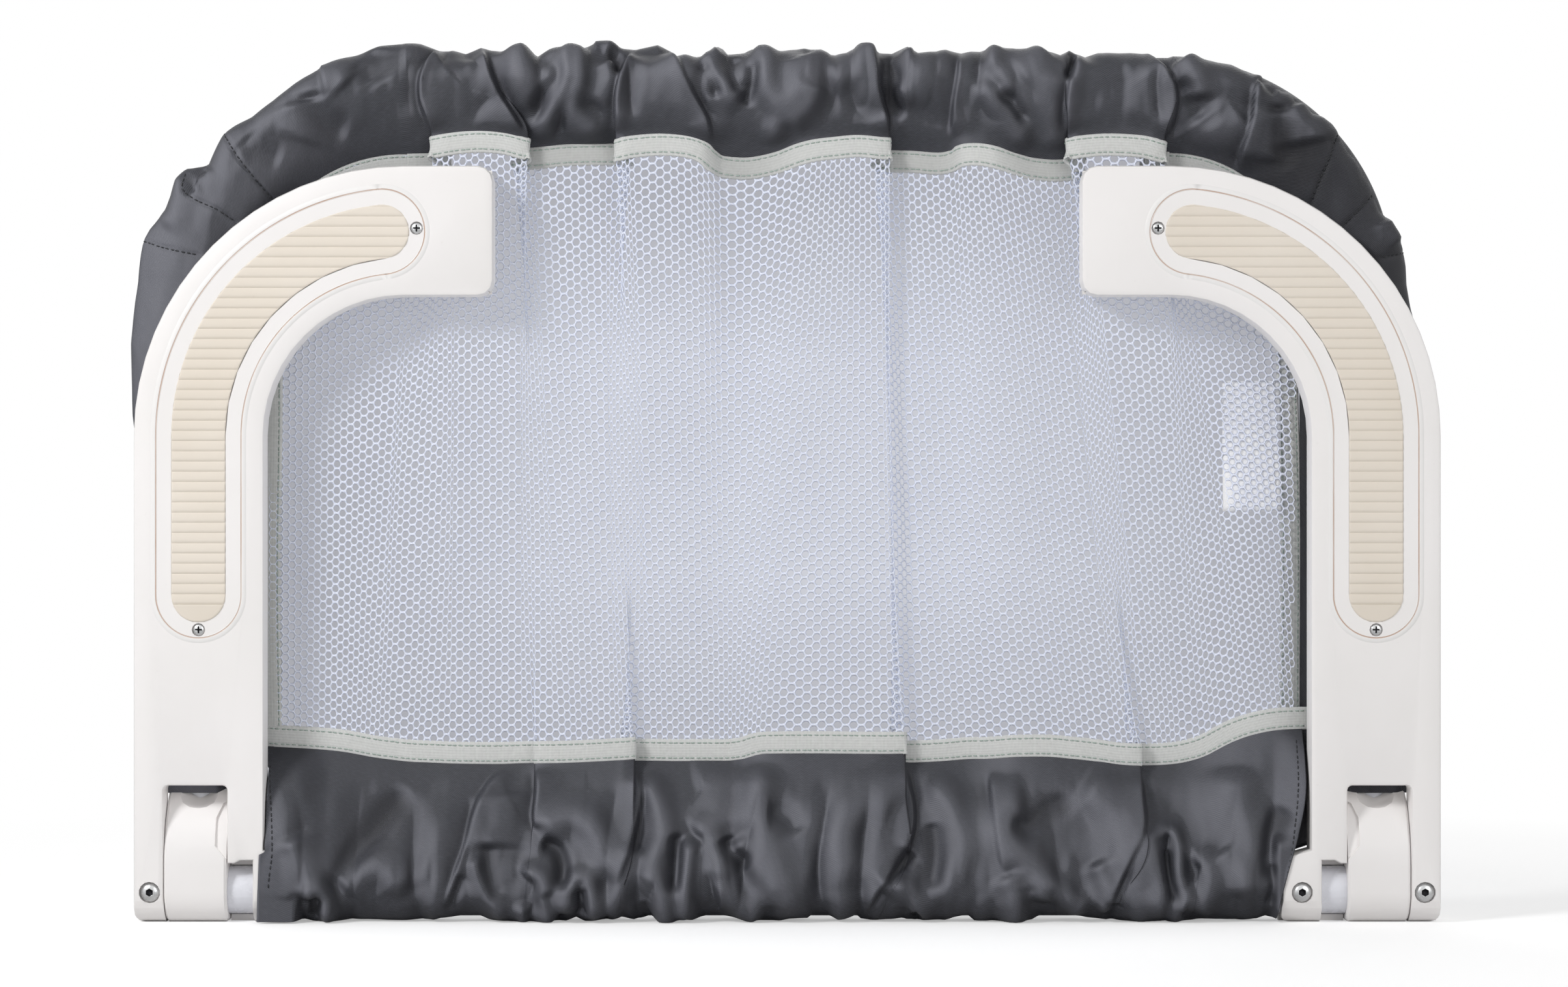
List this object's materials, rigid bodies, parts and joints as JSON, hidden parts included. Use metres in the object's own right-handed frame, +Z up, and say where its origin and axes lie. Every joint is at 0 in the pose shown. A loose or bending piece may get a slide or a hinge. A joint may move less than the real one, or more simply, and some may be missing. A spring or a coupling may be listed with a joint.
{
  "type": "folding bed guard rail",
  "caption": "Telescopic bed guard rail with a gathered fabric and mesh cover and fold-out curved legs that go under the mattress.",
  "frame": {"origin": "middle of the packed rail's length and depth, on the floor under the hinge feet", "axes": "+X along the rail to the right-hand end, +Y away from the folded legs, +Z up the fabric panel"},
  "size_m": [0.6816, 0.0479, 0.4571],
  "materials": {
    "cream_plastic": "satin",
    "grip_rubber": "matt",
    "white_tube": "gloss",
    "bare_tube": "satin",
    "zinc": "bright zinc",
    "bush_plastic": "matt",
    "grey_twill": "satin twill",
    "binding_tape": "matt tape",
    "white_mesh": "open knit net",
    "label_cloth": "matt, blank"
  },
  "bodies": {
    "left_frame": {"left_knuckle": "cream_plastic", "left_socket_screw": "zinc", "left_corner_tube": "white_tube", "left_side_sleeve": "grey_twill", "left_side_binding": "binding_tape", "top_glide_bush": "bush_plastic", "top_sleeve": "grey_twill", "bottom_sleeve": "grey_twill", "mesh_panel": "white_mesh", "top_binding": "binding_tape", "bottom_binding": "binding_tape"},
    "right_frame": {"right_knuckle": "cream_plastic", "right_socket_screw": "zinc", "right_corner_tube": "white_tube", "right_side_sleeve": "grey_twill", "right_side_binding": "binding_tape", "top_inner_tube": "bare_tube", "top_pin": "zinc", "top_glide_plug": "bush_plastic", "care_label": "label_cloth"},
    "left_leg": {"left_leg_arm": "cream_plastic", "left_leg_back_cover": "cream_plastic", "left_pad_plate": "cream_plastic", "left_grip_pad": "grip_rubber", "left_pad_screw_1": "zinc", "left_pad_screw_2": "zinc", "left_hinge_bolt_1": "zinc", "left_hinge_bolt_2": "zinc", "left_hinge_nut_1": "zinc", "left_hinge_nut_2": "zinc", "left_bottom_tube": "white_tube", "bottom_glide_bush": "bush_plastic"},
    "right_leg": {"right_leg_arm": "cream_plastic", "right_leg_back_cover": "cream_plastic", "right_pad_plate": "cream_plastic", "right_grip_pad": "grip_rubber", "right_pad_screw_1": "zinc", "right_pad_screw_2": "zinc", "right_hinge_bolt_1": "zinc", "right_hinge_bolt_2": "zinc", "right_hinge_nut_1": "zinc", "right_hinge_nut_2": "zinc", "right_bottom_tube": "white_tube", "bottom_inner_tube": "bare_tube", "bottom_glide_plug": "bush_plastic"}
  },
  "joints": [
    {"name": "panel_slide", "type": "slide", "parent": "left_frame", "child": "right_frame", "axis": [1, 0, 0], "range_m": [0, 0.25], "deforming": ["top_sleeve", "bottom_sleeve", "mesh_panel", "top_binding", "bottom_binding"]},
    {"name": "left_leg_hinge", "type": "hinge", "parent": "left_frame", "child": "left_leg", "pos_m": [-0.3048, -0.0062, 0.016], "axis": [1, 0, 0], "range_deg": [0, 90]},
    {"name": "right_leg_hinge", "type": "hinge", "parent": "right_frame", "child": "right_leg", "pos_m": [0.3048, -0.0062, 0.016], "axis": [1, 0, 0], "range_deg": [0, 90]}
  ]
}
